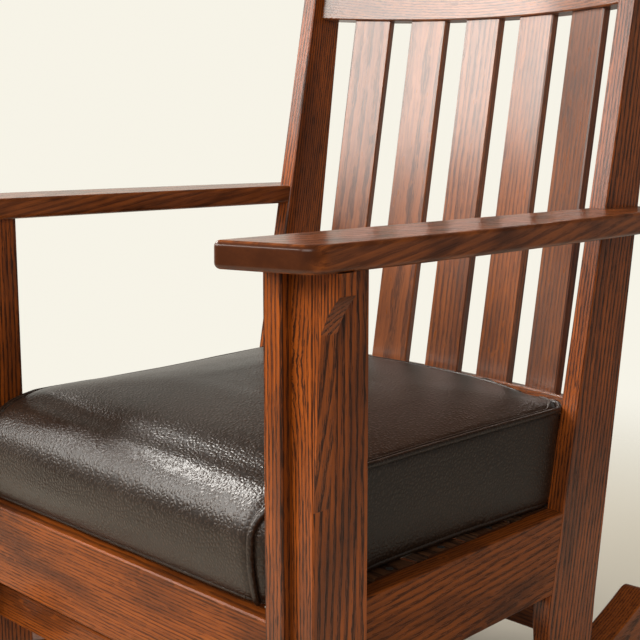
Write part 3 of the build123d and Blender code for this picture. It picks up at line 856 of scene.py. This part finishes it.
@dataclass
class Cushion:
    """The loose leather seat cushion: a crowned top, a rolled front and piped seams."""

    finish: LeatherFinish = LeatherFinish()
    # Outline
    half_width: float = 0.245
    front: float = -0.2543
    swell: float = 0.009
    roll: float = 0.044
    bottom: float = 0.2743
    height: float = 0.112
    corner_radius: float = 0.034
    draw_in: float = 0.005
    side_end: float = 0.1607
    side_lean: float = 0.020
    shoulder: PlanPoint = (0.190, 0.2117)
    haunch_bulge: float = 0.012
    back: float = 0.2457
    # Seams
    front_seam: float = 0.2235
    front_shares: tuple[float, ...] = (0.02, 0.12, 0.25, 0.4, 0.55, 0.65, 0.75, 0.85, 0.93, 1)
    flare_start: float = 0.65
    flare_set_back: float = 1.1
    seam_set_back: float = 0.0035
    back_seam_drop: float = 0.006
    hem_rise: float = 0.004
    hem_cut: float = 0.01
    # Filling
    start_inset: float = 0.0012
    voxel: float = 0.006
    pressure: float = 4.0
    stiffness: float = 25.0
    bending: float = 0.6
    frames: int = 20
    seam_grip: float = 1.6
    seam_hold: float = 0.007
    cap: Point = (0.004, 0.004, 0.007)
    even_passes: int = 45
    relax_share: float = 0.5
    relax_passes: int = 3
    divisions: int = 1
    # Piping
    groove: float = 0.0025
    groove_width: float = 0.0055
    welt_radius: float = 0.0034
    welt_proud: float = 0.75
    ridge_radius: float = 0.0017
    ridge_inset: float = 0.0075
    ridge_proud: float = 0.2
    hem_proud: float = -0.5
    point_gap: float = 0.003
    run_steps: int = 12
    round_steps: int = 3

    def build(self, source: Object) -> None:
        """Build the padded body, its piping and the stitched ridge.

        Args:
            source: the frame's plain cushion.
        """
        body = self._body(source)
        self._stuff(body)
        self._finish_body(body)
        self._press_seam(body)
        tree = BVHTree.FromObject(body, bpy.context.evaluated_depsgraph_get())
        self._ride([
            body,
            self._tube("cushion_welt", self._seam(0.0), self.welt_radius, tree, self.welt_proud),
            self._tube("cushion_ridge", self._seam(self.ridge_inset), self.ridge_radius, tree,
                       self.ridge_proud),
            self._tube("cushion_hem", self._hem(), self.welt_radius, tree, self.hem_proud)])

    def _seam(self, inset: float) -> list[Vector]:
        """Trace the seam from one front corner over the sides and round the back.

        Args:
            inset: how far inside the edge it runs.

        Returns:
            Points along the seam.
        """
        top = self.bottom + self.height
        half = []
        for share in self.front_shares:
            rise = share * self.height
            flare = max(0, (share - self.flare_start) / (1 - self.flare_start)) ** 2
            outward = flare * (self.half_width - self.front_seam)
            set_back = self.seam_set_back + outward * self.flare_set_back + inset
            half.append(Vector((self.front_seam + outward - inset, self._front_at(rise) + set_back,
                                self.bottom + rise)))
        edge = self.half_width - inset
        start = self.front + self.roll + self.corner_radius
        side_end = self.side_end + self.side_lean
        low = top - self.back_seam_drop
        half += [Vector((edge, start + self.corner_radius / 2, top)),
                 Vector((edge - self.draw_in, (start + side_end) / 2, top)),
                 Vector((edge, side_end - 2 * inset, top)),
                 Vector((edge, side_end - 2 * inset, top)),
                 Vector((*self._haunch(side_end, inset), (top + low) / 2)),
                 Vector((self.shoulder[0] - inset, self.shoulder[1] - inset, low))]
        return half + [Vector((0, self.back - inset, low))] + self._mirrored(half)

    def _front_at(self, rise: float) -> float:
        """Find the Y of the front face at a height above the cushion's bottom."""
        back = self.roll - math.sqrt(self.roll ** 2 - max(0.0, rise - self.height + self.roll) ** 2)
        return self.front + back - self.swell * math.sin(math.pi * rise / self.height)

    def _haunch(self, side_end: float, inset: float = 0.0) -> PlanPoint:
        """Find the fullest point of the rounded corner between side and back."""
        out = self.haunch_bulge * math.sqrt(0.5) - inset
        return (self.half_width + self.shoulder[0]) / 2 + out, (side_end + self.shoulder[1]) / 2 + out

    def _mirrored(self, points: list[Vector]) -> list[Vector]:
        """Carry a run of points on over the cushion's other half."""
        return [Vector((-point.x, point.y, point.z)) for point in reversed(points)]

    def _hem(self) -> list[Vector]:
        """Trace the lower seam right round.

        Returns:
            Points along the seam.
        """
        level = self.bottom + self.hem_rise
        plan = ((self.half_width - self.corner_radius, self.front),
                (self.half_width - self.hem_cut, self.front + self.hem_cut),
                (self.half_width, self.front + self.corner_radius),
                (self.half_width - self.draw_in, (self.front + self.side_end) / 2),
                (self.half_width, self.side_end), self._haunch(self.side_end), self.shoulder)
        right = [Vector((*spot, level)) for spot in plan]
        return right + [Vector((0, self.back, level))] + self._mirrored(right) + right[:1]

    def _body(self, source: Object) -> Object:
        """Copy the plain cushion, draw it in and remesh it evenly.

        Args:
            source: the frame's plain cushion.

        Returns:
            The new body.
        """
        mesh = source.data.copy()
        mesh.materials.clear()
        body = add_object("seat_cushion", mesh)
        select_only(body)
        bpy.ops.object.mode_set(mode="EDIT")
        bpy.ops.mesh.select_all(action="SELECT")
        bpy.ops.mesh.remove_doubles(threshold=WELD_GAP)
        bpy.ops.mesh.normals_make_consistent(inside=False)
        bpy.ops.transform.shrink_fatten(value=-self.start_inset)
        bpy.ops.object.mode_set(mode="OBJECT")
        remesh = body.modifiers.new("even", "REMESH")
        remesh.mode = "VOXEL"
        remesh.voxel_size = self.voxel
        bpy.ops.object.modifier_apply(modifier=remesh.name)
        self._fill_haunches(body)
        return body

    def _fill_haunches(self, body: Object) -> None:
        """Round out the two back corners between the sides and the back.

        Args:
            body: the remeshed body.
        """
        places = vertex_places(body.data)
        x, y, z = places.T
        flat = np.column_stack([np.abs(x), y])
        ends = self.side_end + self.side_lean * np.clip((z - self.bottom) / self.height, 0, 1)
        first = np.column_stack([np.full(len(ends), self.half_width), ends])
        chord = np.array(self.shoulder) - first
        length = np.linalg.norm(chord, axis=1)
        share = ((flat - first) * chord).sum(1) / length ** 2
        outward = np.column_stack([chord[:, 1], -chord[:, 0]]) / length[:, None]
        depth = ((flat - first) * outward).sum(1)
        swell = np.where((share > 0) & (share < 1), np.sin(np.pi * np.clip(share, 0, 1)), 0)
        swell *= np.clip(1 + depth / self.corner_radius, 0, 1) * self.haunch_bulge
        x += np.sign(x) * outward[:, 0] * swell
        y += outward[:, 1] * swell
        move_vertices(body.data, places)

    def _stuff(self, body: Object) -> None:
        """Fill the body as cloth, and even out and limit how far that moves its vertices.

        Args:
            body: the remeshed body.
        """
        start = vertex_places(body.data)
        shift = self._inflate(body, start) - start
        shift = np.tanh(shift / self.cap) * self.cap
        edges = np.array([edge.vertices[:] for edge in body.data.edges])
        first, second = edges.T
        count = np.bincount(edges.ravel(), minlength=len(start))[:, None]
        for _ in range(self.even_passes):
            total = np.zeros_like(shift)
            np.add.at(total, first, shift[second])
            np.add.at(total, second, shift[first])
            shift = (shift + total / count) / 2
        settled = start + shift
        low = settled[:, 2] < self.bottom + 2 * self.start_inset
        settled[low, 2] = self.bottom
        move_vertices(body.data, settled)

    def _inflate(self, body: Object, start: np.ndarray) -> np.ndarray:
        """Fill the body by a cloth simulation that its seams hold back.

        Args:
            body: the remeshed body.
            start: its vertices.

        Returns:
            The vertices of the filled body.
        """
        line = np.array([list(p) for run in (self._seam(0.0), self._hem()) for p in self._fine(run)])
        gap = np.array([np.sqrt(((line - point) ** 2).sum(1)).min() for point in start])
        hold = np.clip(self.seam_grip - gap / self.seam_hold, 0, 1)
        group = body.vertex_groups.new(name="seams")
        for index in np.nonzero(hold)[0]:
            group.add([int(index)], float(hold[index]), "REPLACE")
        cloth = body.modifiers.new("stuffing", "CLOTH")
        cloth.settings.vertex_group_mass = group.name
        cloth.settings.use_pressure = True
        cloth.settings.uniform_pressure_force = self.pressure
        cloth.settings.tension_stiffness = self.stiffness
        cloth.settings.compression_stiffness = self.stiffness
        cloth.settings.bending_stiffness = self.bending
        cloth.settings.effector_weights.gravity = 0
        scene = bpy.context.scene
        for frame in range(1, self.frames + 1):
            scene.frame_set(frame)
        places = vertex_places(body.evaluated_get(bpy.context.evaluated_depsgraph_get()).data)
        body.modifiers.remove(cloth)
        scene.frame_set(1)
        return places

    def _finish_body(self, body: Object) -> None:
        """Smooth and divide the stuffed body.

        Args:
            body: the stuffed body.
        """
        select_only(body)
        relax = body.modifiers.new("relax", "SMOOTH")
        relax.factor = self.relax_share
        relax.iterations = self.relax_passes
        bpy.ops.object.modifier_apply(modifier=relax.name)
        divide = body.modifiers.new("divide", "SUBSURF")
        divide.levels = divide.render_levels = self.divisions
        bpy.ops.object.modifier_apply(modifier=divide.name)
        bpy.ops.object.shade_smooth()

    def _press_seam(self, body: Object) -> None:
        """Press a soft groove along the seam, in which its piping lies.

        Args:
            body: the finished body.
        """
        points = self._fine(self._seam(0.0))
        near = KDTree(len(points))
        for index, point in enumerate(points):
            near.insert(point, index)
        near.balance()
        shifts = []
        for vertex in body.data.vertices:
            gap = near.find(vertex.co)[2]
            depth = self.groove * math.exp(-(gap / self.groove_width) ** 2)
            shifts.append(vertex.normal * depth)
        for vertex, shift in zip(body.data.vertices, shifts):
            vertex.co -= shift
        body.data.update()

    def _fine(self, points: list[Vector]) -> list[Vector]:
        """Fill a run of points with closer ones on straight lines.

        Args:
            points: the run's points.

        Returns:
            The points with more between them.
        """
        filled = []
        for first, second in zip(points, points[1:]):
            steps = max(1, round((second - first).length / self.point_gap))
            filled += [first.lerp(second, step / steps) for step in range(steps)]
        return filled + [points[-1]]

    def _tube(self, name: str, points: list[Vector], radius: float, tree: BVHTree,
              proud: float) -> Object:
        """Lay a round piping along a seam, on the cushion's own surface.

        Args:
            name: the piece's name.
            points: the seam's points.
            radius: the piping's radius.
            tree: the cushion's surface.
            proud: the share of the radius by which its middle stands off the surface.

        Returns:
            The piping.
        """
        guide = self._curve(name, "NURBS", points)
        spline = guide.splines[0]
        spline.order_u = 3
        spline.use_endpoint_u = True
        spline.resolution_u = self.run_steps
        route = add_object(name, guide)
        line = bpy.data.meshes.new_from_object(route)
        bpy.data.objects.remove(route)
        run = []
        for vertex in line.vertices:
            spot, normal, _, _ = tree.find_nearest(vertex.co)
            run.append(spot + normal * radius * proud)
        laid = self._curve(name, "POLY", run)
        laid.bevel_depth = radius
        laid.bevel_resolution = self.round_steps
        laid.use_fill_caps = True
        select_only(add_object(name, laid))
        bpy.ops.object.convert(target="MESH")
        bpy.ops.object.shade_smooth()
        return bpy.context.object

    def _curve(self, name: str, kind: str, points: list[Vector]) -> Curve:
        """Lay a curve over a run of points.

        Args:
            name: the curve's name.
            kind: the type of its spline.
            points: the points.

        Returns:
            The curve.
        """
        curve = bpy.data.curves.new(name, "CURVE")
        curve.dimensions = "3D"
        spline = curve.splines.new(kind)
        spline.points.add(len(points) - 1)
        for point, place in zip(spline.points, points):
            point.co = (*place, 1)
        return curve

    def _ride(self, pieces: list[Object]) -> None:
        """Dress the pieces and set them on their body.

        Args:
            pieces: the padded body first, then the piping.
        """
        material = self.finish.make("cushion_hide")
        for piece in pieces:
            set_material(piece, material)
            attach(piece, "cushion")
            LOG.info("cushion: %s", piece.name)
        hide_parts("cushion")


def alike(grain: Grain, *names: str, tilt: float = 0.0) -> dict[str, tuple[Grain, float]]:
    """Let the grain of some boards run alike, with a lean about X in degrees."""
    return dict.fromkeys(names, (grain, tilt))


def sides(*names: str) -> list[str]:
    """Name the left and the right board of each pair."""
    return [name + side for name in names for side in ("_left", "_right")]


def row(name: str, count: int) -> list[str]:
    """Name the boards of a row by their numbers."""
    return [f"{name}_{number}" for number in range(1, count + 1)]


def frame_boards() -> list[Boards]:
    """List the oak parts of the frame with their finishes.

    Returns:
        The groups of boards.
    """
    arm_lean, post_lean, slat_lean = -9.0, 9.0, 9.4
    posts = OakFinish(wander=0.02, flecks=0.1)
    outer = replace(posts, heart=(0.11, 0.05, 0.0), figure=Figure((0.262, -0.262, 0.505)))
    arms = OakFinish(coat=0.6, coat_roughness=0.19, specular=0.05, flecks=0.15, roughness=0.4,
                     light=(0.27, 0.072, 0.016), middle=(0.15, 0.040, 0.012), pores=0.35, lines=0.05,
                     ring_gap=0.007, clouds=0.9, cloud=replace(OakFinish.cloud, scale=60.0), wander=0.03)
    slats = OakFinish(flecks=0.5, coat=0.9, coat_roughness=0.19, coat_index=1.6, specular=0.3,
                      roughness=0.34, light=(0.30, 0.085, 0.020), middle=(0.17, 0.045, 0.012),
                      pores=0.55, lines=0.3)
    # A darker copy of the slats' finish for back_slat_5: painted shade, as the light falls off towards
    # that slat.
    shaded_slat = replace(slats, light=(0.21, 0.058, 0.0125), middle=(0.12, 0.031, 0.008))
    rails = OakFinish(flecks=0.4, heart=(0.08, 0.06, 0.0), coat=0.2, specular=0.08, lines=0.3,
                      pores=0.6, clouds=0.8, light=(0.29, 0.070, 0.0095), middle=(0.155, 0.036, 0.0055))
    # The hidden inner wood is painted dark brown and matte: painted shade for the space under the
    # cushion.
    inner = OakFinish(light=(0.12, 0.050, 0.020), middle=(0.085, 0.034, 0.014),
                      dark=(0.045, 0.018, 0.008), coat=0.0, roughness=0.6)
    return [
        Boards("front legs", outer, alike(Grain.UPRIGHT, *sides("front_post_outer"))),
        Boards("front legs", posts, alike(Grain.UPRIGHT, *sides("front_post_inner", "corbel"))),
        Boards("arms", arms, alike(Grain.DEEP, *sides("arm"), tilt=arm_lean)),
        Boards("back posts", posts, alike(Grain.UPRIGHT, *sides("back_post"), tilt=post_lean)),
        # The last slat takes the darker finish as painted shade.
        Boards("back", shaded_slat, alike(Grain.UPRIGHT, "back_slat_5", tilt=slat_lean)),
        Boards("back", slats, alike(Grain.UPRIGHT, *row("back_slat", 4), tilt=slat_lean)
               | alike(Grain.ACROSS, "crest_rail", "lower_back_rail")),
        Boards("seat rails", rails, alike(Grain.DEEP, *sides("side_rail"))
               | alike(Grain.ACROSS, "front_seat_rail", "back_seat_rail", "front_stretcher",
                       "back_stretcher")),
        Boards("rockers", rails, alike(Grain.DEEP, *sides("rocker"))),
        # The seat deck's dark finish is painted shade under the cushion.
        Boards("seat deck", inner, alike(Grain.ACROSS, *row("deck_slat", 5))
               | alike(Grain.DEEP, *sides("side_cleat"))
               | alike(Grain.ACROSS, *sides("corner_block_front", "corner_block_back"))
               | alike(Grain.UPRIGHT, "arm_dowels", "rocker_dowels")),
    ]


def main() -> None:
    """Build and dress the rocking chair."""
    logging.basicConfig(level=logging.INFO)
    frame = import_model()
    nodes = frame["nodes"]
    Studio().build()
    boards = dict(nodes) | Arms().build()
    for group in frame_boards():
        group.dress(boards)
    steel = SteelFinish().make("screw_steel")
    for name in ("deck_screws", "cleat_screws", "corner_block_screws"):
        set_material(nodes[name], steel)
        LOG.info("screws: %s", name)
    Cushion().build(nodes["cushion"])
    for name, board in boards.items():
        if name != "cushion":
            smooth_curves(board)


if __name__ == "__main__":
    main()
